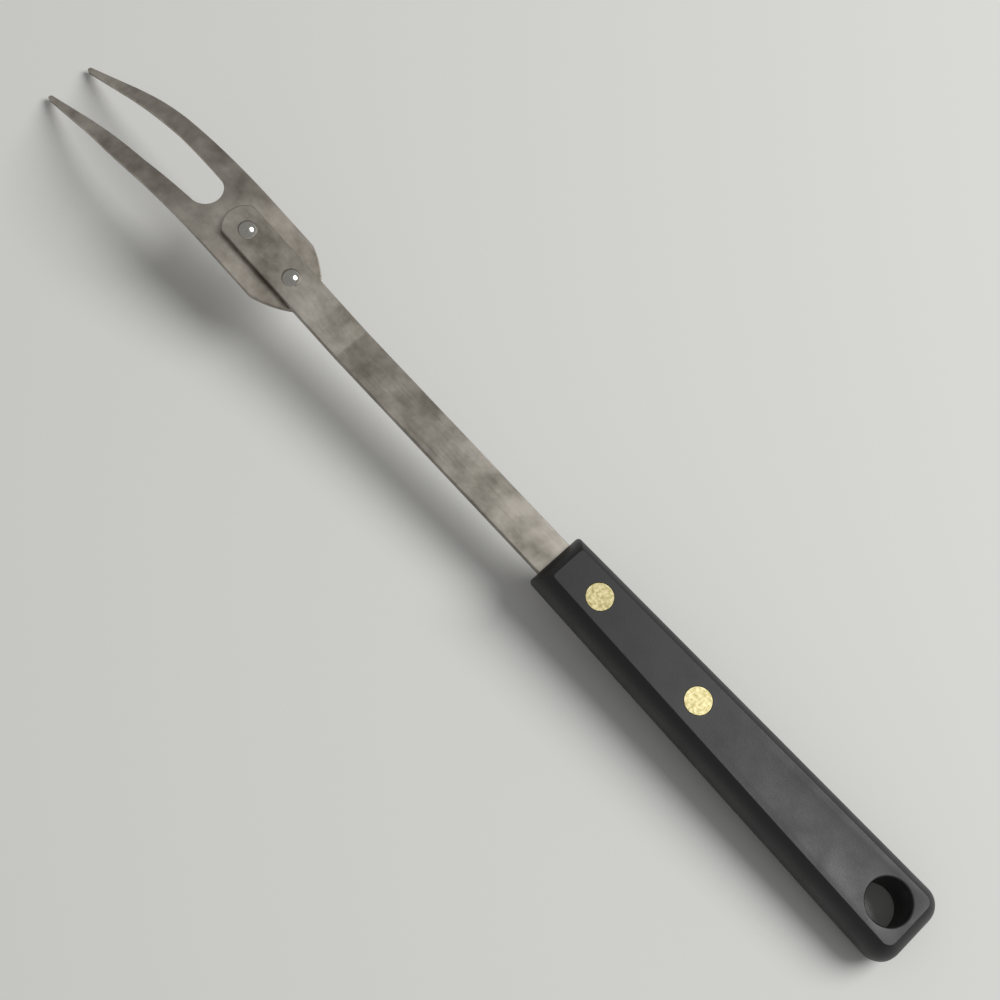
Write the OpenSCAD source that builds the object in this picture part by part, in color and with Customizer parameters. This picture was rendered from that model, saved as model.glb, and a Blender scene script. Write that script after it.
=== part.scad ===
// Two-tined carving fork.
// A flat steel shank is riveted on top of a stamped, bowed fork head.
// Its tang is held in a moulded handle by two cutler's rivets.
// The fork is laid out along X with the shank's mid plane on z = 0 and the
// handle's front end at x = 0, and is then laid down on its tips and its heel.

/* [Handle] */
// Length of the handle, end to end
handle_length = 133; // [110:1:160]
// Thickness between the two flat faces
handle_thickness = 14.2; // [12:0.1:18]
// Width at the front end
handle_front_width = 17.9; // [17:0.1:22]
// Width at the rear end, before its corners are rounded
handle_rear_width = 24.4; // [22:0.1:30]
// Width of the rounded flank around each flat face, seen from above
flank_width = 3.55; // [2.5:0.05:4]
// Radius of the rear corners, seen from above
rear_corner_r = 6; // [5:0.1:8]
// Distance from the hang hole's centre to the rear end
hang_hole_inset = 11.6; // [10.5:0.1:14]
// Diameter of the hang hole
hang_hole_d = 12.4; // [8:0.1:13]
// Radius of the rounded rim of the hang hole
hang_hole_rim_r = 0.6; // [0.2:0.1:0.8]

/* [Shank] */
// Width of the flat strip
shank_width = 11.5; // [9:0.1:12]
// Thickness of the flat strip
shank_thickness = 1.8; // [1.4:0.1:2.4]
// Distance from the handle to the bend
bend_at = 79.8; // [60:0.1:95]
// Angle by which the strip rises past the bend, in degrees
bend_angle = 4.4; // [0:0.1:8]
// Distance from the handle to the rounded front end
shank_reach = 129.3; // [120:0.1:135]
// Radius of the rounded front end
shank_end_r = 7; // [6.5:0.1:12]
// Length of the tang inside the handle
tang_length = 64; // [58:1:80]

/* [Fork head] */
// Thickness of the stamped plate
head_thickness = 1.6; // [1.2:0.1:2]
// Width across the plate and the roots of the tines
head_width = 22.9; // [20:0.1:26]
// Distance from the handle to the plate's hidden rear edge
head_start = 96; // [94:0.5:98]
// Distance from the handle to the corners behind the plate's full width
head_shoulder = 107.9; // [106:0.1:110]
// Radius of the plate's rear flanks
head_flank_r = 32; // [28:1:60]
// Distance from the handle to the bottom of the gap between the tines
crotch_at = 134.4; // [132:0.1:138]
// Width of the gap at its bottom
crotch_width = 10.2; // [9:0.1:11]
// Width of the gap where it stops widening quickly
gap_width = 12.4; // [11.5:0.1:13]
// Distance from the handle to the place where the outer edges turn inward
tine_turn_at = 158; // [154:0.5:164]
// Angle at which the outer edges run inward, in degrees
tine_taper = 5.7; // [5:0.1:6]
// Radius of the turn in the outer edges
tine_turn_r = 150; // [100:5:200]
// Distance from the handle to the tine tips, along the handle's axis
tine_reach = 200.5; // [196:0.5:202]
// Radius of each tip, seen from above
tip_r = 0.75; // [0.5:0.05:0.9]
// Distance between the centres of the two tips
tip_spacing = 14.5; // [13.8:0.1:15]

/* [Bow of the tines] */
// Distance from the handle to the start of the bow
bow_start = 124.5; // [124.5:0.5:126]
// Radius of the bow, on the upper face
bow_r = 95; // [85:1:110]
// Angle of the tines below the handle's axis at their tips, in degrees
tine_dip = 32; // [28:0.5:34]

/* [Rivets] */
// Distance from the handle to the rear head rivet
head_rivet_at = 104.2; // [103:0.1:106]
// Spacing of the two head rivets
head_rivet_spacing = 17.8; // [15:0.1:18]
// Diameter of the domed rivet heads
dome_d = 5.4; // [4.5:0.1:7]
// Height of the domed rivet heads
dome_h = 1.5; // [1:0.1:2]
// Diameter of the head rivets' shanks
head_rivet_d = 3; // [2.5:0.1:3.5]
// Diameter of the tails formed under the plate
tail_d = 4.8; // [4.2:0.1:4.8]
// Height of the tails formed under the plate
tail_h = 0.9; // [0.6:0.1:1.2]
// Distance from the handle's front end to its first rivet
handle_rivet_at = 15.9; // [14:0.1:18]
// Spacing of the two handle rivets
handle_rivet_spacing = 36.7; // [30:0.1:38]
// Diameter of the handle rivets' flush heads
cutler_head_d = 7.6; // [6:0.1:8]
// Thickness of the handle rivets' flush heads
cutler_head_h = 1.6; // [1:0.1:2]
// Outer diameter of the handle rivets' hollow half
cutler_tube_d = 4.2; // [3.8:0.1:4.6]
// Distance that the hollow half reaches below the handle's mid plane
cutler_tube_below = 2.5; // [1.5:0.1:4]
// Diameter of the handle rivets' solid half
cutler_pin_d = 3; // [2.4:0.1:3.2]

/* [Hidden] */
$fn = 96;

black_plastic = "#1c1c1e";
shank_steel = "#8a867e";
head_steel = "#96918a";
bright_steel = "#c4c4c4";
brass = "#a9a47c";

half_t = handle_thickness / 2;
half_strip = shank_thickness / 2;
handle_taper = atan((handle_rear_width - handle_front_width) / 2 / handle_length);
// The flank is an arc that is upright at the handle's mid plane.
flank_arc_r = (pow(flank_width, 2) + pow(half_t, 2)) / 2 / flank_width;
// Centres of the rounded rear corners
corner_x = rear_corner_r - handle_length;
corner_y = handle_rear_width / 2 - rear_corner_r / cos(handle_taper) - rear_corner_r * tan(handle_taper);
hang_hole_x = hang_hole_inset - handle_length;

// Upper face of the head plate, which lies against the strip's lower face
plate_top_at_bow = (bow_start - bend_at) * tan(bend_angle) - half_strip / cos(bend_angle);
bow_centre = [
    bow_start + bow_r * sin(bend_angle),
    plate_top_at_bow - bow_r * cos(bend_angle)
];
bow_end = bow_centre + bow_r * [sin(tine_dip), cos(tine_dip)];
tip_top_z = bow_end[1] - (tine_reach - bow_end[0]) * tan(tine_dip);
tip_low_z = tip_top_z - head_thickness / cos(tine_dip);

// Place on the inner edges where the gap stops widening quickly
gap_knee_x = tine_turn_at;
// Half width of the plate's hidden rear edge
head_rear_half = 4;
// Length by which side profiles run past the outlines that trim them
reach_margin = 10;
// Height above and below the shank that every outline is extruded to
outline_reach = 40;
// Length by which a cut runs past the face that it opens
cut_over = 1;

// Points along an arc, from one angle to another
function arc_points(centre, r, from, to, steps) = [
    for (k = [0:steps])
        let (a = from + (to - from) * k / steps)
            centre + r * [cos(a), sin(a)]
];

// Laying the fork down: the tips and the lower rear edge of the handle touch z = 0.
heel = [flank_width - handle_length, -half_t];
lie_angle = atan((heel[1] - tip_low_z) / (tine_reach - heel[0]));
laid_floor = tine_reach * sin(lie_angle) + tip_low_z * cos(lie_angle);
laid_front = tine_reach * cos(lie_angle) - tip_low_z * sin(lie_angle);
laid_rear = -handle_length * cos(lie_angle);
laid_middle = (laid_front + laid_rear) / 2;

// Lays its children down, with the origin under the middle of the fork
module laid_down() {
    translate([-laid_middle, 0, -laid_floor])
        rotate([0, -lie_angle, 0])
            children();
}

// Section through the handle's edge, from a corner's centre outwards
module edge_section() {
    intersection() {
        translate([rear_corner_r - flank_arc_r, 0])
            circle(r = flank_arc_r);
        translate([0, -half_t])
            square([rear_corner_r, handle_thickness]);
    }
}

// Everything inside one long flank, along the tapered side at y > 0
module inside_flank() {
    translate([corner_x, corner_y, 0])
        rotate([0, 0, -handle_taper])
            rotate([90, 0, 90])
                translate([0, 0, -handle_length / 2])
                    linear_extrude(2 * handle_length)
                        union() {
                            edge_section();
                            translate([-2 * handle_rear_width, -half_t])
                                square([2 * handle_rear_width, handle_thickness]);
                        }
}

// Everything behind the rounded front end
module inside_front_end() {
    rotate([90, 0, 0])
        linear_extrude(2 * handle_rear_width, center = true)
            translate([-rear_corner_r, 0]) {
                edge_section();
                translate([-handle_length, -half_t])
                    square([handle_length, handle_thickness]);
            }
}

// Short front stretch of the handle, its flanks and its front end mitred
module handle_front() {
    stretch = 2 * rear_corner_r;
    intersection() {
        inside_flank();
        mirror([0, 1, 0])
            inside_flank();
        inside_front_end();
        translate([-stretch, -handle_front_width, -half_t])
            cube([2 * stretch, 2 * handle_front_width, handle_thickness]);
    }
}

// The handle without its holes
module handle_body() {
    hull() {
        handle_front();
        for (side = [-1, 1])
            translate([corner_x, side * corner_y, 0])
                rotate_extrude()
                    edge_section();
    }
}

// Hang hole with a rounded rim on both faces
module hang_hole_cut() {
    hole_r = hang_hole_d / 2;
    straight = handle_thickness - 2 * hang_hole_rim_r;
    translate([hang_hole_x, 0, 0])
        rotate_extrude()
            difference() {
                translate([0, -half_t - cut_over])
                    square([hole_r + hang_hole_rim_r, handle_thickness + 2 * cut_over]);
                translate([hole_r, -straight / 2])
                    square([hole_r, straight]);
                for (side = [-1, 1])
                    translate([hole_r + hang_hole_rim_r, side * straight / 2])
                        circle(r = hang_hole_rim_r);
            }
}

// Counterbored hole for one cutler's rivet
module cutler_rivet_cut() {
    cylinder(d = cutler_tube_d, h = handle_thickness + 2 * cut_over, center = true);
    for (side = [0, 1])
        mirror([0, 0, side])
            translate([0, 0, half_t - cutler_head_h])
                cylinder(d = cutler_head_d, h = cutler_head_h + cut_over);
}

// Moves its children to a handle rivet: 0 is the one nearer the shank
module at_handle_rivet(which) {
    translate([-handle_rivet_at - which * handle_rivet_spacing, 0, 0])
        children();
}

module handle() {
    color(black_plastic)
        laid_down()
            difference() {
                handle_body();
                translate([-tang_length, -shank_width / 2, -half_strip])
                    cube([tang_length + cut_over, shank_width, shank_thickness]);
                hang_hole_cut();
                for (which = [0, 1])
                    at_handle_rivet(which)
                        cutler_rivet_cut();
            }
}

// Strip seen from above, with a rounded front end and a rounded tang
module shank_outline() {
    tang_corner_r = shank_width / 4;
    intersection() {
        translate([-tang_length, -shank_width / 2])
            square([tang_length + shank_reach, shank_width]);
        union() {
            translate([-tang_length, -shank_width / 2])
                square([tang_length + shank_reach - shank_end_r, shank_width]);
            translate([shank_reach - shank_end_r, 0])
                circle(r = shank_end_r);
        }
        union() {
            translate([-tang_length + tang_corner_r, -shank_width / 2])
                square([tang_length + shank_reach, shank_width]);
            translate([-tang_length, -shank_width / 4])
                square([tang_length, shank_width / 2]);
            for (side = [-1, 1])
                translate([-tang_length + tang_corner_r, side * (shank_width / 2 - tang_corner_r)])
                    circle(r = tang_corner_r);
        }
    }
}

// Strip seen from the side, level as far as the bend and rising past it
module shank_side_profile() {
    lean = half_strip * tan(bend_angle / 2);
    run = shank_reach + reach_margin - bend_at;
    rise = run * tan(bend_angle);
    polygon([
        [-tang_length - reach_margin, -half_strip],
        [bend_at + lean, -half_strip],
        [bend_at + run, rise - half_strip / cos(bend_angle)],
        [bend_at + run, rise + half_strip / cos(bend_angle)],
        [bend_at - lean, half_strip],
        [-tang_length - reach_margin, half_strip]
    ]);
}

// Moves its children to a head rivet, upright on the rising strip: 0 is the one nearer the handle
module at_head_rivet(which) {
    translate([bend_at, 0, 0])
        rotate([0, -bend_angle, 0])
            translate([(head_rivet_at + which * head_rivet_spacing - bend_at) / cos(bend_angle), 0, 0])
                children();
}

module head_rivet_holes() {
    for (which = [0, 1])
        at_head_rivet(which)
            cylinder(d = head_rivet_d, h = head_width, center = true);
}

module shank() {
    color(shank_steel)
        laid_down()
            difference() {
                intersection() {
                    linear_extrude(2 * outline_reach, center = true)
                        shank_outline();
                    rotate([90, 0, 0])
                        linear_extrude(2 * shank_width, center = true)
                            shank_side_profile();
                }
                head_rivet_holes();
                for (which = [0, 1])
                    at_handle_rivet(which)
                        cylinder(d = cutler_tube_d, h = handle_thickness, center = true);
            }
}

// Edge of one tine and its half of the plate, seen from above at y > 0,
// from the plate's hidden rear edge round the tip to the bottom of the gap
function half_head_edge() =
    let (
        half = head_width / 2,
        tip_centre = [tine_reach - tip_r, tip_spacing / 2],
        crotch_r = crotch_width / 2,
        flank_from = [head_start, head_rear_half],
        flank_to = [head_shoulder, half],
        chord = flank_to - flank_from,
        to_centre = sqrt(pow(head_flank_r, 2) - pow(norm(chord) / 2, 2)),
        flank_centre = (flank_from + flank_to) / 2 + to_centre * [chord[1], -chord[0]] / norm(chord),
        flank_a = atan2(flank_from[1] - flank_centre[1], flank_from[0] - flank_centre[0]),
        flank_b = atan2(flank_to[1] - flank_centre[1], flank_to[0] - flank_centre[0])
    )
    concat(
        arc_points(flank_centre, head_flank_r, flank_a, flank_b, 10),
        arc_points([tine_turn_at, half - tine_turn_r], tine_turn_r, 90, 90 - tine_taper, 8),
        arc_points(tip_centre, tip_r, 90 - tine_taper, -90, 12),
        [[gap_knee_x, gap_width / 2]],
        arc_points([crotch_at + crotch_r, 0], crotch_r, 90, 180, 20)
    );

module head_outline() {
    edge = half_head_edge();
    polygon(concat(
        edge,
        [for (k = [len(edge) - 2:-1:0]) [edge[k][0], -edge[k][1]]]
    ));
}

// One half of the plate's side profile, around the bow's centre:
// a straight band, and the stretch of the bow that joins it.
// The two halves overlap by a degree each, so that they become one piece.
module half_side_profile(run) {
    overlap = 1;
    sweep = (bend_angle + tine_dip) / 2 + overlap;
    translate([-run, bow_r - head_thickness])
        square([run, head_thickness]);
    intersection() {
        difference() {
            circle(r = bow_r, $fn = 360);
            circle(r = bow_r - head_thickness, $fn = 360);
        }
        polygon([
            [0, 0],
            [0, 2 * bow_r],
            2 * bow_r * [sin(sweep), cos(sweep)]
        ]);
    }
}

// Plate seen from the side: straight under the strip, bowed, then straight to the tips
module head_side_profile() {
    translate(bow_centre) {
        rotate(bend_angle)
            half_side_profile(bow_start - head_start + reach_margin);
        rotate(-tine_dip)
            mirror([1, 0])
                half_side_profile(tine_reach - bow_end[0] + reach_margin);
    }
}

module fork_head() {
    color(head_steel)
        laid_down()
            difference() {
                intersection() {
                    linear_extrude(2 * outline_reach, center = true)
                        head_outline();
                    rotate([90, 0, 0])
                        linear_extrude(2 * head_width, center = true)
                            head_side_profile();
                }
                head_rivet_holes();
            }
}

// Rivet with a domed head above the strip and a flatter formed tail below the plate
module head_rivet(which) {
    dome_r = (pow(dome_d / 2, 2) + pow(dome_h, 2)) / 2 / dome_h;
    tail_r = (pow(tail_d / 2, 2) + pow(tail_h, 2)) / 2 / tail_h;
    stack_low = -half_strip - head_thickness;
    color(bright_steel)
        laid_down()
            at_head_rivet(which)
                rotate_extrude()
                    union() {
                        intersection() {
                            translate([0, half_strip + dome_h - dome_r])
                                circle(r = dome_r);
                            translate([0, half_strip])
                                square([dome_r, dome_h]);
                        }
                        translate([0, stack_low])
                            square([head_rivet_d / 2, half_strip - stack_low]);
                        intersection() {
                            translate([0, stack_low - tail_h + tail_r])
                                circle(r = tail_r);
                            translate([0, stack_low - tail_h])
                                square([tail_r, tail_h]);
                        }
                    }
}

// Hollow half of a cutler's rivet, its flush head in the upper face
module cutler_tube() {
    tube_length = half_t - cutler_head_h + cutler_tube_below;
    difference() {
        union() {
            translate([0, 0, half_t - cutler_head_h])
                cylinder(d = cutler_head_d, h = cutler_head_h);
            translate([0, 0, -cutler_tube_below])
                cylinder(d = cutler_tube_d, h = tube_length);
        }
        translate([0, 0, -cutler_tube_below - cut_over])
            cylinder(d = cutler_pin_d, h = tube_length + cut_over);
    }
}

// Solid half of a cutler's rivet, its flush head in the lower face
module cutler_pin() {
    translate([0, 0, -half_t])
        cylinder(d = cutler_head_d, h = cutler_head_h);
    translate([0, 0, cutler_head_h - half_t])
        cylinder(d = cutler_pin_d, h = handle_thickness - 2 * cutler_head_h);
}

module handle_rivet_half(which) {
    color(brass)
        laid_down()
            at_handle_rivet(which)
                children();
}

handle();
shank();
fork_head();
head_rivet(1);  // head_rivet_front
head_rivet(0);  // head_rivet_rear
handle_rivet_half(0) cutler_tube();  // rivet_tube_front
handle_rivet_half(0) cutler_pin();  // rivet_pin_front
handle_rivet_half(1) cutler_tube();  // rivet_tube_rear
handle_rivet_half(1) cutler_pin();  // rivet_pin_rear
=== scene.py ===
"""The looks of a two-tined carving fork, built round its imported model.

Every piece is drawn in the fork's own straight frame, in millimetres: X runs
along the fork with the handle's front end at 0, Y to its left, and Z up from
the middle of the flat strip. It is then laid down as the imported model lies.
"""

import logging
import math
from dataclasses import dataclass
from enum import Enum

import bmesh
import bpy
import numpy as np
from mathutils import Matrix, Vector
from mathutils.geometry import delaunay_2d_cdt


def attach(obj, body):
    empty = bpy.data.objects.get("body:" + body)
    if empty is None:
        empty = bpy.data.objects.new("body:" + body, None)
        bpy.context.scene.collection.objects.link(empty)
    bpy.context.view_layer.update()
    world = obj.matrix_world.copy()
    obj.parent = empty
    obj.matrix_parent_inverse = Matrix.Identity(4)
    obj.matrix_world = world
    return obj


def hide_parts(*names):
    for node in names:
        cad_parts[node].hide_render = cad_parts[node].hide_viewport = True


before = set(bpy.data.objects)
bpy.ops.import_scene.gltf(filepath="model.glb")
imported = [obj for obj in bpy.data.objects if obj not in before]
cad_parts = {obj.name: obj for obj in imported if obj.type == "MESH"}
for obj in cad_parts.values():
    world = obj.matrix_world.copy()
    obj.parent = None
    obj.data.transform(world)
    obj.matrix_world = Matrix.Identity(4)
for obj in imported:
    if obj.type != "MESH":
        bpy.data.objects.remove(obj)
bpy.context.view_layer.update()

MM = 0.001
BODY = "root"
log = logging.getLogger("carving_fork")

# Points that a face gets inside its outlines stay this far from them, in mm
SEED_CLEARANCE = 0.35
# The triangulation gives only what the outlines enclose, and merges points nearer than this
ENCLOSED_ONLY = 1
SAME_POINT = 1e-7
# Points of a finished mesh nearer than this are one, in mm
MERGE = 0.0005
# Sides of a round hole: the hang hole, the handle's rivet holes and the sheets' rivet holes
HANG_HOLE_SIDES, RIVET_HOLE_SIDES, SHEET_HOLE_SIDES = 96, 56, 40

Ring = list[int]
Outline = list[tuple[float, float]]


class HeadRivetPlace(Enum):
    """The two domed rivets, counted from the handle."""

    REAR = 0
    FRONT = 1


class HandleRivetPlace(Enum):
    """The two flush rivets, counted from the handle's front end."""

    FRONT = 0
    REAR = 1


class Half(Enum):
    """The two halves of a cutler's rivet."""

    TUBE = "tube"
    PIN = "pin"


class Face(Enum):
    """The two broad faces of a piece, by the sign of their height."""

    UPPER = 1
    UNDER = -1


# Meshes


def arc(
    centre: tuple[float, float], radius: float, start: float, end: float, steps: int
) -> Outline:
    """Points along an arc.

    Args:
        centre: The arc's centre.
        radius: The arc's radius.
        start: The first point's angle, in degrees.
        end: The last point's angle, in degrees.
        steps: How many stretches the arc is cut into.

    Returns:
        The points, both ends included.
    """
    angles = [math.radians(start + (end - start) * k / steps) for k in range(steps + 1)]
    return [(centre[0] + radius * math.cos(a), centre[1] + radius * math.sin(a)) for a in angles]


def divided(points: Outline, longest: float) -> Outline:
    """A closed outline whose long sides are cut into shorter ones.

    Args:
        points: The outline's corners.
        longest: No side of the result is longer than this.

    Returns:
        The outline with points added along its sides.
    """
    result: Outline = []
    for (x0, y0), (x1, y1) in zip(points, points[1:] + points[:1]):
        parts = max(1, math.ceil(math.hypot(x1 - x0, y1 - y0) / longest))
        result += [(x0 + (x1 - x0) * k / parts, y0 + (y1 - y0) * k / parts) for k in range(parts)]
    return result


def drawn_in(points: Outline, inset: float) -> Outline:
    """A closed outline, counter-clockwise, with every side moved inwards.

    Args:
        points: The outline's corners.
        inset: How far each side moves.

    Returns:
        As many points, each on the bisector of its corner.
    """
    sharpest = 2.0
    p = np.array(points)
    before, after = p - np.roll(p, 1, axis=0), np.roll(p, -1, axis=0) - p
    normals = []
    for side in (before, after):
        side = side / np.linalg.norm(side, axis=1, keepdims=True)
        normals.append(np.stack((-side[:, 1], side[:, 0]), axis=1))
    bisector = normals[0] + normals[1]
    longest = sharpest / np.linalg.norm(bisector, axis=1)
    reach = np.minimum(2.0 / np.maximum((bisector**2).sum(1), 1e-9), longest)
    return [tuple(q) for q in p + inset * bisector * reach[:, None]]


def inside(points: np.ndarray, loop: np.ndarray) -> np.ndarray:
    """Says which points lie inside a closed outline.

    Args:
        points: The points to test, one per row.
        loop: The outline's corners, one per row.

    Returns:
        One truth value per point.
    """
    result = np.zeros(len(points), bool)
    for (x0, y0), (x1, y1) in zip(loop, np.roll(loop, -1, axis=0)):
        if y0 == y1:
            continue
        spans = (points[:, 1] < y0) != (points[:, 1] < y1)
        crossing = x0 + (points[:, 1] - y0) * (x1 - x0) / (y1 - y0)
        result ^= spans & (points[:, 0] < crossing)
    return result


class Draft:
    """The points and faces of one closed mesh, in millimetres, as it is drawn."""

    def __init__(self) -> None:
        """Starts an empty mesh."""
        self.points: list[tuple[float, float, float]] = []
        self.faces: list[tuple[int, ...]] = []

    def ring(self, outline: Outline, height: float) -> Ring:
        """Adds an outline's points at one height.

        Args:
            outline: The outline.
            height: The height.

        Returns:
            The points' numbers.
        """
        first = len(self.points)
        self.points += [(x, y, height) for x, y in outline]
        return list(range(first, len(self.points)))

    def bridge(self, low: Ring, high: Ring, gap: tuple[int, ...] = ()) -> None:
        """Joins two closed rings of equal count by four-sided faces.

        Args:
            low: The first ring.
            high: The second ring.
            gap: Numbers of the sides that stay open.
        """
        for k in range(len(low)):
            if k not in gap:
                following = (k + 1) % len(low)
                self.faces.append((low[k], low[following], high[following], high[k]))

    def fill(self, outer: Ring, holes: list[Ring], height: float, seeds: Outline) -> None:
        """Closes a level outline, round its holes, by triangles.

        Args:
            outer: The ring round the face.
            holes: The rings round its holes.
            height: The height of the added points.
            seeds: Places for added points, used where they are clear of the rings.
        """
        loops = [np.array([self.points[i][:2] for i in ring]) for ring in (outer, *holes)]
        if seeds:
            places = np.array(seeds)
            keep = inside(places, loops[0])
            for loop in loops[1:]:
                keep &= ~inside(places, loop)
            places = places[keep]
            edge_points = np.concatenate(loops)
            nearest = np.array([np.min(np.hypot(*(edge_points - q).T)) for q in places])
            seeds = [tuple(q) for q in places[nearest > SEED_CLEARANCE]]
        numbers = [i for ring in (outer, *holes) for i in ring] + self.ring(seeds, height)
        sides, first = [], 0
        for loop in loops:
            sides += [(first + k, first + (k + 1) % len(loop)) for k in range(len(loop))]
            first += len(loop)
        flat = [Vector(self.points[i][:2]) for i in numbers]
        _, _, triangles, sources, _, _ = delaunay_2d_cdt(flat, sides, [], ENCLOSED_ONLY, SAME_POINT)
        corners = [[numbers[sources[v][0]] for v in triangle] for triangle in triangles]
        spans = [[self.points[i][:2] for i in three] for three in corners]
        middles = np.mean(spans, axis=1)
        keep = np.ones(len(middles), bool)
        for loop in loops[1:]:
            keep &= ~inside(middles, loop)
        self.faces += [tuple(three) for three, kept in zip(corners, keep) if kept]

    def object(self, name: str) -> bpy.types.Object:
        """Makes the mesh an object of the scene, still in the straight frame.

        Args:
            name: The object's name.

        Returns:
            The new object, in metres.
        """
        mesh = bpy.data.meshes.new(name)
        mesh.from_pydata([Vector(p) * MM for p in self.points], [], self.faces)
        piece = bpy.data.objects.new(name, mesh)
        bpy.context.scene.collection.objects.link(piece)
        return piece


def finished(piece: bpy.types.Object, crease: float = 32.0) -> None:
    """Turns a closed piece's faces outwards and smooths all but its creases.

    Args:
        piece: The piece.
        crease: Edges sharper than this stay sharp, in degrees.
    """
    shape = bmesh.new()
    shape.from_mesh(piece.data)
    bmesh.ops.remove_doubles(shape, verts=shape.verts, dist=MERGE * MM)
    bmesh.ops.recalc_face_normals(shape, faces=shape.faces)
    for face in shape.faces:
        face.smooth = True
    shape.to_mesh(piece.data)
    shape.free()
    piece.data.set_sharp_from_angle(angle=math.radians(crease))


# Node trees


def feed(tree: bpy.types.NodeTree, node: bpy.types.Node, inputs: dict[str | int, object]) -> None:
    """Sets or links a node's inputs.

    Args:
        tree: The node's tree.
        node: The node.
        inputs: For each input, by name or number, a value, a socket, or a
            node whose first output in use is linked.
    """
    for name, value in inputs.items():
        if isinstance(value, bpy.types.Node):
            value = next(s for s in value.outputs if s.enabled)
        if isinstance(value, bpy.types.NodeSocket):
            tree.links.new(value, node.inputs[name])
        else:
            node.inputs[name].default_value = value


def add(
    tree: bpy.types.NodeTree,
    kind: str,
    inputs: dict[str | int, object] | None = None,
    **settings: object,
) -> bpy.types.Node:
    """Adds one node with its settings, values and links.

    Args:
        tree: The tree that gets the node.
        kind: The node's type.
        inputs: What its inputs get, as in feed.
        **settings: The node's own settings.

    Returns:
        The new node.
    """
    node = tree.nodes.new(kind)
    for name, value in settings.items():
        setattr(node, name, value)
    feed(tree, node, inputs or {})
    return node


def new_geometry_tree(
    name: str, inputs: dict[str, str]
) -> tuple[bpy.types.NodeTree, bpy.types.Node]:
    """Makes an empty Geometry Nodes tree.

    Args:
        name: The tree's name.
        inputs: For each input after the geometry, its socket type.

    Returns:
        The tree and its group input node.
    """
    tree = bpy.data.node_groups.new(name, "GeometryNodeTree")
    for label, kind in {"Geometry": "NodeSocketGeometry", **inputs}.items():
        tree.interface.new_socket(label, in_out="INPUT", socket_type=kind)
    tree.interface.new_socket("Geometry", in_out="OUTPUT", socket_type="NodeSocketGeometry")
    return tree, add(tree, "NodeGroupInput")


def close_tree(tree: bpy.types.NodeTree, geometry: bpy.types.Node, given: bpy.types.Node) -> None:
    """Ends a Geometry Nodes tree in Realize Instances and Set Material.

    Args:
        tree: The tree.
        geometry: The node that gives the finished shape.
        given: The tree's group input.
    """
    real = add(tree, "GeometryNodeRealizeInstances", {"Geometry": geometry})
    material = given.outputs["Material"]
    dressed = add(tree, "GeometryNodeSetMaterial", {"Geometry": real, "Material": material})
    add(tree, "NodeGroupOutput", {"Geometry": dressed})


def press_tree() -> bpy.types.NodeTree:
    """Makes the tree that bends a flat blank over one round tool.

    The blank lies along X. It stays flat up to Bend Start, follows an arc of
    Bend Radius as far as Bend Angle, which is negative downwards, and runs on
    straight. Heights are kept square to the bent surface.

    Returns:
        The tree.
    """
    tree, given = new_geometry_tree(
        "Press over a round tool",
        {
            "Bend Start": "NodeSocketFloat",
            "Bend Radius": "NodeSocketFloat",
            "Bend Angle": "NodeSocketFloat",
            "Material": "NodeSocketMaterial",
        },
    )
    start, radius, angle = (given.outputs[n] for n in ("Bend Start", "Bend Radius", "Bend Angle"))
    place = add(tree, "ShaderNodeSeparateXYZ", {0: add(tree, "GeometryNodeInputPosition")})
    x, y, height = place.outputs
    turn = add(tree, "ShaderNodeMath", {0: angle}, operation="ABSOLUTE")
    side = add(tree, "ShaderNodeMath", {0: angle}, operation="SIGN")
    arc_length = add(tree, "ShaderNodeMath", {0: radius, 1: turn}, operation="MULTIPLY")
    past = add(tree, "ShaderNodeMath", {0: x, 1: start}, operation="SUBTRACT")
    share = add(
        tree, "ShaderNodeMath", {0: past, 1: arc_length}, operation="DIVIDE", use_clamp=True
    )
    at = add(tree, "ShaderNodeMath", {0: angle, 1: share}, operation="MULTIPLY")
    sine = add(tree, "ShaderNodeMath", {0: at}, operation="SINE")
    cosine = add(tree, "ShaderNodeMath", {0: at}, operation="COSINE")
    beyond = add(tree, "ShaderNodeMath", {0: past, 1: arc_length}, operation="SUBTRACT")
    beyond = add(tree, "ShaderNodeMath", {0: beyond, 1: 0.0}, operation="MAXIMUM")
    before = add(tree, "ShaderNodeMath", {0: x, 1: start}, operation="MINIMUM")
    tool = add(tree, "ShaderNodeMath", {0: radius, 1: side}, operation="MULTIPLY")
    # Along the fork: what lies before, plus the arc's run, less the height's lean
    run = add(tree, "ShaderNodeMath", {0: tool, 1: height}, operation="SUBTRACT")
    run = add(tree, "ShaderNodeMath", {0: run, 1: sine, 2: before}, operation="MULTIPLY_ADD")
    run = add(tree, "ShaderNodeMath", {0: beyond, 1: cosine, 2: run}, operation="MULTIPLY_ADD")
    # Upwards: the tool's radius, less its share that is left, plus the straight stretch
    rise = add(tree, "ShaderNodeMath", {0: height, 1: tool}, operation="SUBTRACT")
    rise = add(tree, "ShaderNodeMath", {0: rise, 1: cosine, 2: tool}, operation="MULTIPLY_ADD")
    rise = add(tree, "ShaderNodeMath", {0: beyond, 1: sine, 2: rise}, operation="MULTIPLY_ADD")
    bent = add(tree, "ShaderNodeCombineXYZ", {0: run, 1: y, 2: rise})
    blank = given.outputs["Geometry"]
    moved = add(tree, "GeometryNodeSetPosition", {"Geometry": blank, "Position": bent})
    close_tree(tree, moved, given)
    return tree


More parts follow.
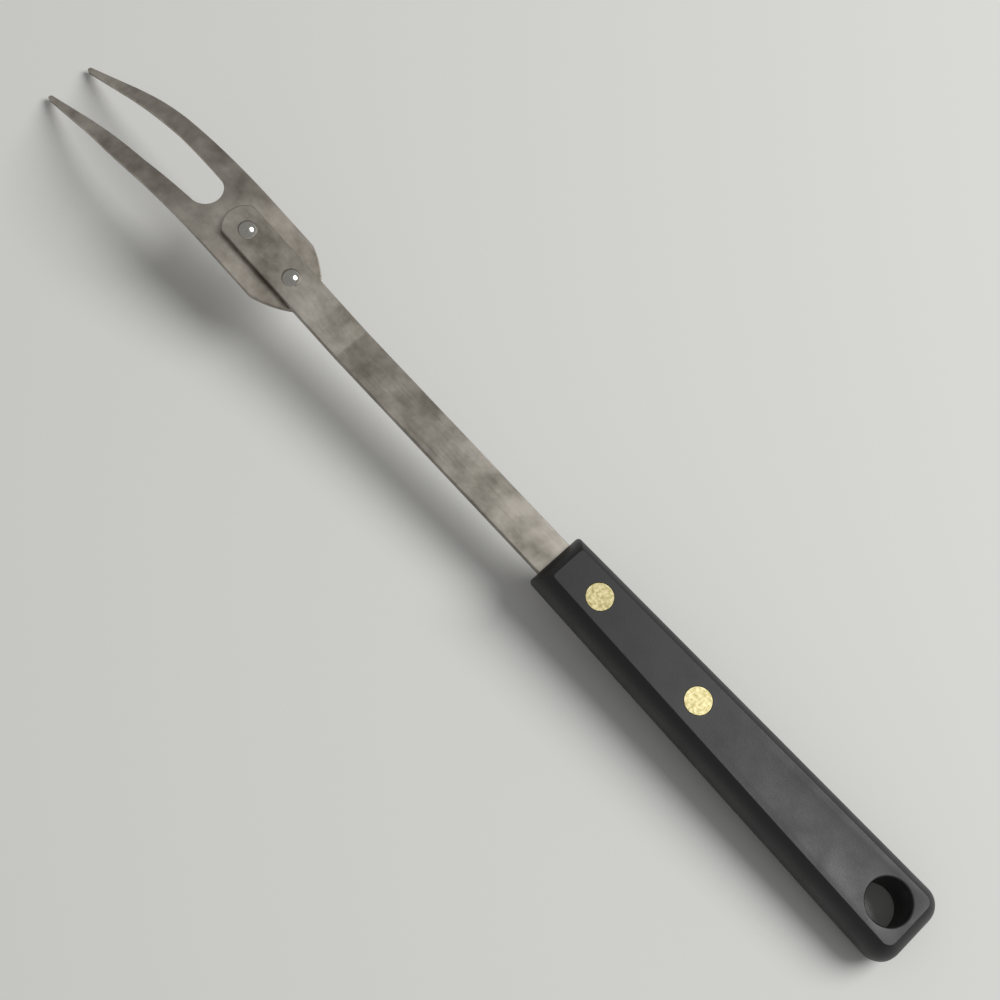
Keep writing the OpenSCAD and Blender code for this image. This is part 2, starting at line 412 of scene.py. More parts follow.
def lathe_tree() -> bpy.types.NodeTree:
    """Makes the tree that turns a profile into a closed round piece.

    The profile is a row of points, radius along X and height along Z, that
    starts and ends on the axis and runs from the bottom to the top.

    Returns:
        The tree.
    """
    tree, given = new_geometry_tree(
        "Turn on a lathe", {"Steps Around": "NodeSocketInt", "Material": "NodeSocketMaterial"}
    )
    profile, steps = given.outputs["Geometry"], given.outputs["Steps Around"]
    size = add(tree, "GeometryNodeAttributeDomainSize", {"Geometry": profile}, component="MESH")
    count = size.outputs["Point Count"]
    columns = add(tree, "ShaderNodeMath", {0: steps, 1: 1.0}, operation="ADD")
    skin = add(tree, "GeometryNodeMeshGrid", {"Vertices X": columns, "Vertices Y": count})
    index = add(tree, "GeometryNodeInputIndex")
    row = add(tree, "ShaderNodeMath", {0: index, 1: count}, operation="MODULO")
    row = add(tree, "ShaderNodeMath", {0: row}, operation="ROUND")
    column = add(tree, "ShaderNodeMath", {0: index, 1: count}, operation="DIVIDE")
    column = add(tree, "ShaderNodeMath", {0: column}, operation="FLOOR")
    angle = add(tree, "ShaderNodeMath", {0: column, 1: steps}, operation="DIVIDE")
    angle = add(tree, "ShaderNodeMath", {0: angle, 1: math.tau}, operation="MULTIPLY")
    sampled = add(
        tree,
        "GeometryNodeSampleIndex",
        {"Geometry": profile, "Index": row},
        data_type="FLOAT_VECTOR",
        domain="POINT",
    )
    position = add(tree, "GeometryNodeInputPosition")
    value = next(s for s in sampled.inputs if s.name == "Value" and s.enabled)
    tree.links.new(position.outputs[0], value)
    place = add(tree, "ShaderNodeSeparateXYZ", {0: sampled})
    cosine = add(tree, "ShaderNodeMath", {0: angle}, operation="COSINE")
    sine = add(tree, "ShaderNodeMath", {0: angle}, operation="SINE")
    across = add(tree, "ShaderNodeMath", {0: place.outputs[0], 1: cosine}, operation="MULTIPLY")
    along = add(tree, "ShaderNodeMath", {0: place.outputs[0], 1: sine}, operation="MULTIPLY")
    turned = add(tree, "ShaderNodeCombineXYZ", {0: across, 1: along, 2: place.outputs[2]})
    mesh = skin.outputs["Mesh"]
    moved = add(tree, "GeometryNodeSetPosition", {"Geometry": mesh, "Position": turned})
    merged = add(tree, "GeometryNodeMergeByDistance", {"Geometry": moved, "Distance": 0.001 * MM})
    close_tree(tree, merged, given)
    return tree


def made_by(tree: bpy.types.NodeTree, piece: bpy.types.Object, values: dict[str, object]) -> None:
    """Runs a Geometry Nodes tree on a piece and keeps the result as its mesh.

    Args:
        tree: The tree.
        piece: The object that holds the tree's input mesh.
        values: The tree's inputs, by their names.
    """
    modifier = piece.modifiers.new(tree.name, "NODES")
    modifier.node_group = tree
    for item in tree.interface.items_tree:
        if item.item_type == "SOCKET" and item.in_out == "INPUT" and item.name in values:
            modifier[item.identifier] = values[item.name]
    depsgraph = bpy.context.evaluated_depsgraph_get()
    mesh = bpy.data.meshes.new_from_object(piece.evaluated_get(depsgraph), depsgraph=depsgraph)
    piece.modifiers.remove(modifier)
    piece.data = mesh


# Materials


def linear(colour: str) -> tuple[float, float, float, float]:
    """Turns an sRGB hex colour into the linear colour that a socket holds.

    Args:
        colour: The colour, such as "#8a867e".

    Returns:
        Red, green, blue and alpha.
    """
    parts = [int(colour[k : k + 2], 16) / 255 for k in (1, 3, 5)]
    red, green, blue = (c / 12.92 if c <= 0.04045 else ((c + 0.055) / 1.055) ** 2.4 for c in parts)
    return red, green, blue, 1.0


@dataclass(frozen=True)
class Lie:
    """How the straight frame is laid down: tilted about Y, then moved."""

    angle: float
    middle: float
    floor: float

    @property
    def matrix(self) -> Matrix:
        """The move from the straight frame to the scene, both in metres."""
        shift = Matrix.Translation(Vector((-self.middle, 0.0, -self.floor)) * MM)
        return shift @ Matrix.Rotation(-self.angle, 4, "Y")

    def millimetres(self, tree: bpy.types.NodeTree) -> bpy.types.Node:
        """Adds the nodes that give a point's place in the straight frame, in mm.

        Args:
            tree: A material's tree.

        Returns:
            The Mapping node.
        """
        back = self.matrix.inverted()
        coordinates = add(tree, "ShaderNodeTexCoord")
        return add(
            tree,
            "ShaderNodeMapping",
            {
                "Vector": coordinates.outputs["Object"],
                "Location": back.to_translation() / MM,
                "Rotation": back.to_euler(),
                "Scale": (1 / MM,) * 3,
            },
        )


def started(
    name: str, lie: Lie
) -> tuple[bpy.types.Material, bpy.types.NodeTree, bpy.types.Node]:
    """Starts a material whose patterns are drawn in the straight frame.

    Args:
        name: The material's name.
        lie: How the straight frame is laid down.

    Returns:
        The material, its tree, and the node that gives places in millimetres.
    """
    result = bpy.data.materials.new(name)
    result.use_nodes = True
    return result, result.node_tree, lie.millimetres(result.node_tree)


def finish(tree: bpy.types.NodeTree, inputs: dict[str | int, object]) -> None:
    """Gives a material's shader its inputs."""
    feed(tree, tree.nodes["Principled BSDF"], inputs)


@dataclass(frozen=True)
class MouldedPlastic:
    """Black handle plastic, moulded against a fine sparked grain.

    The grain breaks up the sheen, so that the flat faces look soft, and
    handling has made the sheen a little uneven. The colour is mixed lighter
    towards the rear as a painted sheen. Sizes are in millimetres.
    """

    lie: Lie
    front: str = "#0b0b0c"
    # The rear colour is a painted sheen: lighter than the front's black
    rear: str = "#151517"
    painted_sheen_from: float = -30.0
    painted_sheen_full_at: float = -133.0
    grain: float = 0.35
    grain_depth: float = 0.05
    cloud: float = 8.3333
    smoothest: float = 0.38
    grain_roughness: float = 0.16

    def material(self) -> bpy.types.Material:
        """Makes the material.

        Returns:
            The material.
        """
        result, tree, place = started("moulded_black_plastic", self.lie)
        along = add(tree, "ShaderNodeSeparateXYZ", {0: place}).outputs[0]
        # Painted sheen: the colour lightens from the front's black towards the rear
        ends = {"From Min": self.painted_sheen_from, "From Max": self.painted_sheen_full_at}
        share = add(tree, "ShaderNodeMapRange", {"Value": along, **ends})
        colours = {6: linear(self.front), 7: linear(self.rear)}
        body = add(tree, "ShaderNodeMix", {0: share, **colours}, data_type="RGBA")
        fine = {"Vector": place, "Scale": 1 / self.grain, "Detail": 3.0}
        grain = add(tree, "ShaderNodeTexNoise", fine)
        wide = {"Vector": place, "Scale": 1 / self.cloud, "Detail": 3.0}
        cloudy = add(tree, "ShaderNodeTexNoise", wide)
        span = {"From Min": 0.35, "From Max": 0.7, "To Min": -0.05, "To Max": 0.06}
        worn = add(tree, "ShaderNodeMapRange", {"Value": cloudy, **span})
        rough = {0: grain, 1: self.grain_roughness, 2: self.smoothest}
        rough = add(tree, "ShaderNodeMath", rough, operation="MULTIPLY_ADD")
        rough = add(tree, "ShaderNodeMath", {0: rough, 1: worn}, operation="ADD")
        depth = {"Height": grain, "Strength": 0.35, "Distance": self.grain_depth * MM}
        bump = add(tree, "ShaderNodeBump", depth)
        finish(tree, {"Base Color": body, "Roughness": rough, "Normal": bump, "IOR": 1.5})
        return result


@dataclass(frozen=True)
class SatinStainless:
    """Satin stainless sheet, dulled by heat and washing.

    Its colour is a warm grey that drifts between light and dark, with fine
    rolling lines along the fork. Sizes are in millimetres.
    """

    name: str
    lie: Lie
    light: str = "#b3ada3"
    dark: str = "#7f7a70"
    patch: float = 11.1111
    line_length: float = 8.3333
    line_width: float = 0.25
    line_depth: float = 0.02
    smoothest: float = 0.26
    line_roughness: float = 0.2

    def material(self) -> bpy.types.Material:
        """Makes the material.

        Returns:
            The material.
        """
        result, tree, place = started(self.name, self.lie)
        stains = {"Vector": place, "Scale": 1 / self.patch, "Detail": 5.0, "Roughness": 0.6}
        patches = add(tree, "ShaderNodeTexNoise", stains)
        span = {"From Min": 0.35, "From Max": 0.65}
        share = add(tree, "ShaderNodeMapRange", {"Value": patches, **span})
        colours = {6: linear(self.dark), 7: linear(self.light)}
        tone = add(tree, "ShaderNodeMix", {0: share, **colours}, data_type="RGBA")
        rolling = (1 / self.line_length, 1 / self.line_width, 1 / self.line_width)
        stretched = add(tree, "ShaderNodeMapping", {"Vector": place, "Scale": rolling})
        fine = {"Vector": stretched, "Scale": 1.0, "Detail": 4.0}
        lines = add(tree, "ShaderNodeTexNoise", fine)
        rough = {0: lines, 1: self.line_roughness, 2: self.smoothest}
        rough = add(tree, "ShaderNodeMath", rough, operation="MULTIPLY_ADD")
        depth = {"Height": lines, "Strength": 0.12, "Distance": self.line_depth * MM}
        bump = add(tree, "ShaderNodeBump", depth)
        finish(tree, {"Base Color": tone, "Roughness": rough, "Normal": bump, "Metallic": 1.0})
        return result


@dataclass(frozen=True)
class PolishedSteel:
    """Bright steel of the domed rivet heads, polished by the die that formed them."""

    lie: Lie
    light: str = "#cfccc6"
    dark: str = "#b5b0a8"
    haze: float = 0.625
    smoothest: float = 0.1
    haze_roughness: float = 0.12

    def material(self) -> bpy.types.Material:
        """Makes the material.

        Returns:
            The material.
        """
        result, tree, place = started("polished_rivet_steel", self.lie)
        cloudy = {"Vector": place, "Scale": 1 / self.haze, "Detail": 3.0}
        haze = add(tree, "ShaderNodeTexNoise", cloudy)
        rough = {0: haze, 1: self.haze_roughness, 2: self.smoothest}
        rough = add(tree, "ShaderNodeMath", rough, operation="MULTIPLY_ADD")
        colours = {6: linear(self.dark), 7: linear(self.light)}
        tone = add(tree, "ShaderNodeMix", {0: haze, **colours}, data_type="RGBA")
        finish(tree, {"Base Color": tone, "Roughness": rough, "Metallic": 1.0})
        return result


@dataclass(frozen=True)
class TarnishedBrass:
    """Brass rivet heads, ground flush with the handle and gone dull and pale.

    The tarnish stands in small olive spots. Sizes are in millimetres.
    """

    lie: Lie
    light: str = "#c9bf95"
    dark: str = "#9a9062"
    spot: float = 0.9091
    spot_depth: float = 0.03
    smoothest: float = 0.32
    spot_roughness: float = 0.2

    def material(self) -> bpy.types.Material:
        """Makes the material.

        Returns:
            The material.
        """
        result, tree, place = started("tarnished_brass", self.lie)
        tarnish = {"Vector": place, "Scale": 1 / self.spot, "Detail": 6.0, "Roughness": 0.65}
        spots = add(tree, "ShaderNodeTexNoise", tarnish)
        span = {"From Min": 0.38, "From Max": 0.62}
        share = add(tree, "ShaderNodeMapRange", {"Value": spots, **span})
        colours = {6: linear(self.dark), 7: linear(self.light)}
        tone = add(tree, "ShaderNodeMix", {0: share, **colours}, data_type="RGBA")
        rough = {0: spots, 1: self.spot_roughness, 2: self.smoothest}
        rough = add(tree, "ShaderNodeMath", rough, operation="MULTIPLY_ADD")
        depth = {"Height": spots, "Strength": 0.2, "Distance": self.spot_depth * MM}
        bump = add(tree, "ShaderNodeBump", depth)
        finish(tree, {"Base Color": tone, "Roughness": rough, "Normal": bump, "Metallic": 1.0})
        return result


# Pieces


def placed(
    piece: bpy.types.Object, node: str, matrix: Matrix, material: bpy.types.Material
) -> None:
    """Puts a piece in its place and lets it stand for its CAD node.

    Args:
        piece: The piece, drawn in its own frame.
        node: The CAD node that it replaces.
        matrix: The move from the piece's own frame to the scene.
        material: Its only material.
    """
    piece.data.transform(matrix)
    piece.data.materials.clear()
    piece.data.materials.append(material)
    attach(piece, BODY)
    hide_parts(node)
    low = min((v.co.z for v in piece.data.vertices))
    log.info("%s: %d faces, lowest point %.2f mm", piece.name, len(piece.data.polygons), low / MM)


@dataclass(frozen=True)
class Rivets:
    """The sizes of the two kinds of rivet that the other pieces have holes for."""

    head_at: float = 104.2
    head_spacing: float = 17.8
    dome_d: float = 5.4
    dome_h: float = 1.5
    shank_d: float = 3.0
    tail_d: float = 4.8
    tail_h: float = 0.9
    handle_at: float = 15.9
    handle_spacing: float = 36.7
    flush_d: float = 7.6
    flush_h: float = 1.6
    tube_d: float = 4.2
    tube_below: float = 2.5
    pin_d: float = 3.0
    hole_play: float = 0.02
    head_play: float = 0.03

    def along_strip(self, place: HeadRivetPlace) -> float:
        """Where a domed rivet stands, seen from above."""
        return self.head_at + place.value * self.head_spacing

    def along_handle(self, place: HandleRivetPlace) -> float:
        """Where a flush rivet stands."""
        return -self.handle_at - place.value * self.handle_spacing


@dataclass(frozen=True)
class Handle:
    """The moulded handle: flat faces inside arched flanks, and a hang hole."""

    rivets: Rivets
    length: float = 133.0
    thickness: float = 14.2
    front_width: float = 17.9
    rear_width: float = 24.4
    flank_width: float = 3.55
    rear_corner_r: float = 6.0
    front_corner_r: float = 0.8
    edge_r: float = 0.35
    hole_inset: float = 11.6
    hole_d: float = 12.4
    hole_rim_r: float = 0.6
    slot_width: float = 11.5
    slot_thickness: float = 1.8
    slot_length: float = 64.0
    play: float = 0.05
    parting_ridge: float = 0.06
    parting_half: float = 0.14
    flat_rim: float = 0.04
    hole_chamfer: float = 0.1

    @property
    def taper(self) -> float:
        """The angle between a long side and the handle's axis."""
        return math.atan((self.rear_width - self.front_width) / 2 / self.length)

    @property
    def arch_r(self) -> float:
        """The radius of the flanks' arch, seen in section."""
        return (self.flank_width**2 + (self.thickness / 2) ** 2) / 2 / self.flank_width

    def outline(self, inset: float) -> Outline:
        """The handle's edge from above, counter-clockwise from its rear right corner.

        Args:
            inset: How far the edge lies inside the widest one.

        Returns:
            As many points for any inset.
        """
        lean = self.taper
        side = 90 - math.degrees(lean)
        front_r = self.front_corner_r
        front_x = -inset - front_r
        back = inset + front_r
        front_y = self.front_width / 2 + back * math.tan(lean) - back / math.cos(lean)
        rear_x = self.rear_corner_r - self.length
        rear_y = (
            self.rear_width / 2
            - self.rear_corner_r / math.cos(lean)
            - self.rear_corner_r * math.tan(lean)
        )
        rear_r = self.rear_corner_r - inset
        slot_share = (self.slot_width / 2 + self.play) / (self.front_width / 2 - front_r)
        right = arc((rear_x, -rear_y), rear_r, -180, -side, 14)
        right += arc((front_x, -front_y), front_r, -side, 0, 5)
        right.append((-inset, -front_y * slot_share))
        return right + [(x, -y) for x, y in reversed(right)]

    def levels(self) -> list[tuple[float, float]]:
        """Height and inset of each ring, from the widest line to the flat face.

        Returns:
            The pairs, for the upper half.
        """
        arch_steps, edge_steps = 12, 4
        arch = self.arch_r
        half = self.thickness / 2
        slot = self.slot_thickness / 2 + self.play
        edge_centre = math.sqrt((arch - self.edge_r) ** 2 - (half - self.edge_r) ** 2)
        end = math.degrees(math.atan2(half - self.edge_r, edge_centre))
        first = math.degrees(math.asin(slot / arch))
        rings = [(0.0, 0.0), (self.parting_half, self.parting_ridge)]
        for k in range(arch_steps + 1):
            a = math.radians(first + (end - first) * k / arch_steps)
            rings.append((arch * math.sin(a), arch * (1 - math.cos(a)) + self.parting_ridge))
        for k in range(1, edge_steps + 1):
            a = math.radians(end + (90 - end) * k / edge_steps)
            rings.append(
                (
                    half - self.edge_r + self.edge_r * math.sin(a),
                    arch - edge_centre - self.edge_r * math.cos(a) + self.parting_ridge,
                )
            )
        rings.append((half, rings[-1][1] + self.flat_rim))
        return rings

    def rivet_rings(self, draft: Draft, x: float, face: Face) -> tuple[Ring, Ring]:
        """Draws one rivet's counterbored hole from a flat face to the slot.

        Args:
            draft: The handle's mesh.
            x: Where the rivet stands.
            face: The face that the hole starts from.

        Returns:
            The ring on the flat face and the ring on the slot's wall.
        """
        half = self.thickness / 2
        head = self.rivets.flush_d / 2 + self.rivets.head_play
        tube = self.rivets.tube_d / 2 + self.rivets.head_play
        steps = [
            (head + self.hole_chamfer, half),
            (head, half - self.hole_chamfer),
            (head, half - self.rivets.flush_h),
            (tube, half - self.rivets.flush_h),
            (tube, self.slot_thickness / 2 + self.play),
        ]
        circles = [arc((x, 0), r, 0, 360, RIVET_HOLE_SIDES)[:-1] for r, _ in steps]
        rings = [draft.ring(c, face.value * z) for c, (_, z) in zip(circles, steps)]
        for upper, lower in zip(rings, rings[1:]):
            draft.bridge(upper, lower)
        return rings[0], rings[-1]

    def hang_hole(self, draft: Draft) -> tuple[Ring, Ring]:
        """Draws the hang hole's wall with its rounded rims.

        Args:
            draft: The handle's mesh.

        Returns:
            The ring on the upper face and the ring on the under face.
        """
        centre = (self.hole_inset - self.length, 0.0)
        bend = self.hole_rim_r
        lip = self.hole_d / 2 + bend
        top = self.thickness / 2 - bend
        rim = arc((lip, top), bend, 90, 180, 6)
        steps = rim + [(r, -z) for r, z in reversed(rim)]
        rings = [draft.ring(arc(centre, r, 0, 360, HANG_HOLE_SIDES)[:-1], z) for r, z in steps]
        for upper, lower in zip(rings, rings[1:]):
            draft.bridge(upper, lower)
        return rings[0], rings[-1]

    def build(self) -> bpy.types.Object:
        """Makes the handle's mesh in the straight frame.

        Returns:
            The handle.
        """
        draft = Draft()
        levels = self.levels()
        outlines = [self.outline(inset) for _, inset in levels]
        mouth = len(outlines[0]) // 2 - 1
        upper = [draft.ring(o, z) for o, (z, _) in zip(outlines, levels)]
        under = [upper[0]] + [draft.ring(o, -z) for o, (z, _) in zip(outlines[1:], levels[1:])]
        # The slot's mouth lies between the first rings on either side of the widest line.
        for stack in (upper, under):
            for k, (low, high) in enumerate(zip(stack, stack[1:])):
                draft.bridge(low, high, gap=(mouth,) if k < 2 else ())
        hole_rings = self.hang_hole(draft)
        walls: dict[Face, tuple[int, ...]] = {}
        sides = ((Face.UPPER, upper, hole_rings[0]), (Face.UNDER, under, hole_rings[1]))
        stands = [self.rivets.along_handle(place) for place in HandleRivetPlace]
        for face, stack, hole in sides:
            pairs = [self.rivet_rings(draft, x, face) for x in stands]
            height = face.value * self.thickness / 2
            draft.fill(stack[-1], [hole, *(pair[0] for pair in pairs)], height, [])
            z = face.value * (self.slot_thickness / 2 + self.play)
            half_slot = self.slot_width / 2 + self.play
            front = (stack[2][mouth], stack[2][mouth + 1])
            middle = (stack[1][mouth], stack[1][mouth + 1])
            rear = draft.ring([(-self.slot_length, half_slot), (-self.slot_length, -half_slot)], z)
            draft.fill([*front, *rear], [pair[1] for pair in pairs], z, [])
            walls[face] = (front, middle, tuple(rear))
        front_u, middle_u, rear_u = walls[Face.UPPER]
        front_d, middle_d, rear_d = walls[Face.UNDER]
        seam = (upper[0][mouth], upper[0][mouth + 1])
        draft.faces.append((rear_u[0], rear_u[1], rear_d[1], rear_d[0]))
        mouth_left = (front_d[1], middle_d[1], seam[1], middle_u[1])
        draft.faces.append((front_u[1], rear_u[0], rear_d[0], *mouth_left))
        mouth_right = (middle_u[0], seam[0], middle_d[0], front_d[0])
        draft.faces.append((front_u[0], *mouth_right, rear_d[1], rear_u[1]))
        piece = draft.object("fork_handle")
        finished(piece)
        return piece

    def dress(self, piece: bpy.types.Object, lie: Lie) -> None:
        """Gives the handle its finish and its place."""
        placed(piece, "handle", lie.matrix, MouldedPlastic(lie).material())


def sheet_blank(
    name: str,
    outline: Outline,
    holes: list[float],
    hole_r: float,
    upper: float,
    thickness: float,
    edge_r: float,
    seeds: Outline,
) -> bpy.types.Object:
    """Makes a flat blank of sheet metal with its edges slightly rounded.

    Args:
        name: The object's name.
        outline: Its edge, counter-clockwise.
        holes: Where its holes lie along the middle.
        hole_r: The radius of its holes.
        upper: The height of its upper face.
        thickness: Its thickness.
        edge_r: The radius of the rounding along its edges.
        seeds: Places for points inside the outline, so that it can bend.

    Returns:
        The blank.
    """
    steps = 4
    support = 0.05
    draft = Draft()
    middle, half = upper - thickness / 2, thickness / 2
    turns = [math.radians(90 * k / steps) for k in range(steps + 1)]
    section = [(edge_r * (1 - math.cos(a)), half - edge_r * (1 - math.sin(a))) for a in turns]
    section.append((edge_r + support, half))
    section = [(inset, -height) for inset, height in reversed(section)] + section
    rings = [draft.ring(drawn_in(outline, inset), middle + height) for inset, height in section]
    for low, high in zip(rings, rings[1:]):
        draft.bridge(low, high)
    circles = [arc((x, 0), hole_r, 0, 360, SHEET_HOLE_SIDES)[:-1] for x in holes]
    under = [draft.ring(circle, middle - half) for circle in circles]
    over = [draft.ring(circle, middle + half) for circle in circles]
    for low, high in zip(under, over):
        draft.bridge(low, high)
    draft.fill(rings[0], under, middle - half, seeds)
    draft.fill(rings[-1], over, middle + half, seeds)
    return draft.object(name)


@dataclass(frozen=True)
class Shank:
    """The flat strip: its tang, its bend and its rounded front end."""

    rivets: Rivets
    width: float = 11.5
    thickness: float = 1.8
    bend_at: float = 79.8
    bend_angle: float = 4.4
    bend_r: float = 9.0
    reach: float = 129.3
    end_r: float = 7.0
    tang_length: float = 64.0
    edge_r: float = 0.3

    @property
    def rise(self) -> float:
        """The bend's angle, in radians."""
        return math.radians(self.bend_angle)

    def unrolled(self, x: float) -> float:
        """Where a place seen from above lies along the flat strip."""
        return x if x < self.bend_at else self.bend_at + (x - self.bend_at) / math.cos(self.rise)

    def riser(self, x: float) -> Matrix:
        """The frame of the rising stretch, above a place seen from above.

        Args:
            x: The place.

        Returns:
            The move from a frame on the strip's middle to the straight frame, in metres.
        """
        along = (x - self.bend_at) / math.cos(self.rise)
        bend = Matrix.Translation((self.bend_at * MM, 0, 0)) @ Matrix.Rotation(-self.rise, 4, "Y")
        return bend @ Matrix.Translation((along * MM, 0, 0))

    def outline(self) -> Outline:
        """The flat strip's edge from above, counter-clockwise.

        Returns:
            Its points.
        """
        half = self.width / 2
        corner = self.width / 4
        centre = self.unrolled(self.reach - self.end_r)
        turn = math.degrees(math.asin(half / self.end_r))
        rear = -self.tang_length + corner
        points = arc((rear, -half + corner), corner, -180, -90, 8)
        points += arc((centre, 0), self.end_r, -turn, turn, 22)
        points += arc((rear, half - corner), corner, 90, 180, 8)
        return divided(points, 1.5)

    def build(self, press: bpy.types.NodeTree) -> bpy.types.Object:
        """Makes the strip's mesh in the straight frame.

        Args:
            press: The tree that bends a blank.

        Returns:
            The strip.
        """
        tool_r = self.bend_r
        bend_start = self.bend_at - tool_r * math.tan(self.rise / 2)
        arc_length = tool_r * self.rise
        # Added points stand wide apart on the flat stretches and close together over the bend
        along, across = np.arange(-60, 128, 3.0), np.arange(-4, 5, 2.0)
        clear = 1.5
        along = along[np.abs(along - self.bend_at) > clear]
        seeds = [(float(x), float(y)) for x in along for y in across]
        rows = bend_start + arc_length * np.linspace(-0.25, 1.25, 7)
        seeds += [(float(x), float(y)) for x in rows for y in np.arange(-5, 5.5, 0.5)]
        piece = sheet_blank(
            "fork_shank",
            self.outline(),
            [self.unrolled(self.rivets.along_strip(place)) for place in HeadRivetPlace],
            self.rivets.shank_d / 2 + self.rivets.hole_play,
            self.thickness / 2,
            self.thickness,
            self.edge_r,
            seeds,
        )
        made_by(
            press,
            piece,
            {"Bend Start": bend_start * MM, "Bend Radius": tool_r * MM, "Bend Angle": self.rise},
        )
        finished(piece)
        return piece

    def dress(self, piece: bpy.types.Object, lie: Lie) -> None:
        """Gives the strip its finish and its place."""
        steel = SatinStainless("satin_stainless_strip", lie)
        placed(piece, "shank", lie.matrix, steel.material())


@dataclass(frozen=True)
class ForkHead:
    """The stamped plate with its two tines, bowed down over a round tool."""

    shank: Shank
    thickness: float = 1.6
    width: float = 22.9
    start: float = 96.0
    rear_half: float = 4.0
    shoulder: float = 107.9
    flank_r: float = 32.0
    crotch_at: float = 134.4
    crotch_width: float = 10.2
    gap_width: float = 12.4
    turn_at: float = 158.0
    taper: float = 5.7
    turn_r: float = 150.0
    reach: float = 200.5
    tip_r: float = 0.75
    tip_spacing: float = 14.5
    bow_start: float = 124.5
    bow_r: float = 95.0
    dip: float = 32.0
    edge_r: float = 0.22

    @property
    def upper_at_bow(self) -> float:
        """The height of the upper face where the bow starts.

        Returns:
            The height.
        """
        rise = self.shank.rise
        run = self.bow_start - self.shank.bend_at
        return run * math.tan(rise) - self.shank.thickness / 2 / math.cos(rise)

    @property
    def bow_centre(self) -> tuple[float, float]:
        """The centre of the bow, along the fork and upwards."""
        rise = self.shank.rise
        return (
            self.bow_start + self.bow_r * math.sin(rise),
            self.upper_at_bow - self.bow_r * math.cos(rise),
        )

    @property
    def tip_low(self) -> float:
        """The height of the tips' lower edge.

        Returns:
            The height.
        """
        dip = math.radians(self.dip)
        centre_x, centre_z = self.bow_centre
        end_x = centre_x + self.bow_r * math.sin(dip)
        end_z = centre_z + self.bow_r * math.cos(dip)
        return end_z - (self.reach - end_x) * math.tan(dip) - self.thickness / math.cos(dip)

    def unrolled(self, x: float) -> float:
        """Where a place seen from above lies along the flat blank.

        Args:
            x: The place, seen from above.

        Returns:
            The distance along the blank's upper face from the strip's bend.
        """
        rise, dip = self.shank.rise, math.radians(self.dip)
        lap = self.shank.thickness / 2 * math.tan(rise)
        start = (self.bow_start - self.shank.bend_at) / math.cos(rise) - lap
        if x <= self.bow_start:
            return (x - self.shank.bend_at) / math.cos(rise) - lap
        centre = self.bow_centre[0]
        end = centre + self.bow_r * math.sin(dip)
        if x <= end:
            return start + self.bow_r * (math.asin((x - centre) / self.bow_r) + rise)
        return start + self.bow_r * (rise + dip) + (x - end) / math.cos(dip)

    def outline(self) -> Outline:
        """The plate's edge from above, counter-clockwise, from one tine to the other.

        Returns:
            Its points.
        """
        half = self.width / 2
        tip = (self.reach - self.tip_r, self.tip_spacing / 2)
        crotch_r = self.crotch_width / 2
        flank_from = np.array((self.start, self.rear_half))
        flank_to = np.array((self.shoulder, half))
        chord = flank_to - flank_from
        length = float(np.hypot(*chord))
        to_centre = math.sqrt(self.flank_r**2 - (length / 2) ** 2)
        centre = (flank_from + flank_to) / 2 + to_centre * np.array((chord[1], -chord[0])) / length
        spokes = (flank_from - centre, flank_to - centre)
        first, last = (math.degrees(math.atan2(y, x)) for x, y in spokes)
        side = arc(tuple(centre), self.flank_r, first, last, 14)
        side += arc((self.turn_at, half - self.turn_r), self.turn_r, 90, 90 - self.taper, 10)
        side += arc(tip, self.tip_r, 90 - self.taper, -90, 14)
        side.append((self.turn_at, self.gap_width / 2))
        side += arc((self.crotch_at + crotch_r, 0), crotch_r, 90, 180, 24)
        left = side + [(x, -y) for x, y in reversed(side[:-1])]
        return divided(left[::-1], 1.0)

    def build(self, press: bpy.types.NodeTree) -> bpy.types.Object:
        """Makes the plate's mesh in the straight frame.

        Args:
            press: The tree that bends a blank.

        Returns:
            The plate.
        """
        step = 1.1
        flat = [(self.unrolled(x), y) for x, y in self.outline()]
        low, high = self.unrolled(self.start), self.unrolled(self.reach)
        half = self.width / 2
        seeds = [
            (float(x), float(y) + step / 2 * (row % 2))
            for row, x in enumerate(np.arange(low, high, step))
            for y in np.arange(-half, half, step)
        ]
        rivets = self.shank.rivets
        lap = self.shank.thickness / 2 * math.tan(self.shank.rise)
        piece = sheet_blank(
            "fork_tines",
            flat,
            [self.unrolled(rivets.along_strip(place)) + lap for place in HeadRivetPlace],
            rivets.shank_d / 2 + rivets.hole_play,
            0.0,
            self.thickness,
            self.edge_r,
            seeds,
        )
        made_by(
            press,
            piece,
            {
                "Bend Start": self.unrolled(self.bow_start) * MM,
                "Bend Radius": self.bow_r * MM,
                "Bend Angle": -self.shank.rise - math.radians(self.dip),
            },
        )
        finished(piece)
        drop = Matrix.Translation((0, 0, -self.shank.thickness / 2 * MM))
        piece.data.transform(self.shank.riser(self.shank.bend_at) @ drop)
        return piece

    def dress(self, piece: bpy.types.Object, lie: Lie) -> None:
        """Gives the plate its finish and its place."""
        steel = SatinStainless("satin_stainless_plate", lie, light="#c0b9ae", dark="#8d867c")
        placed(piece, "fork_head", lie.matrix, steel.material())


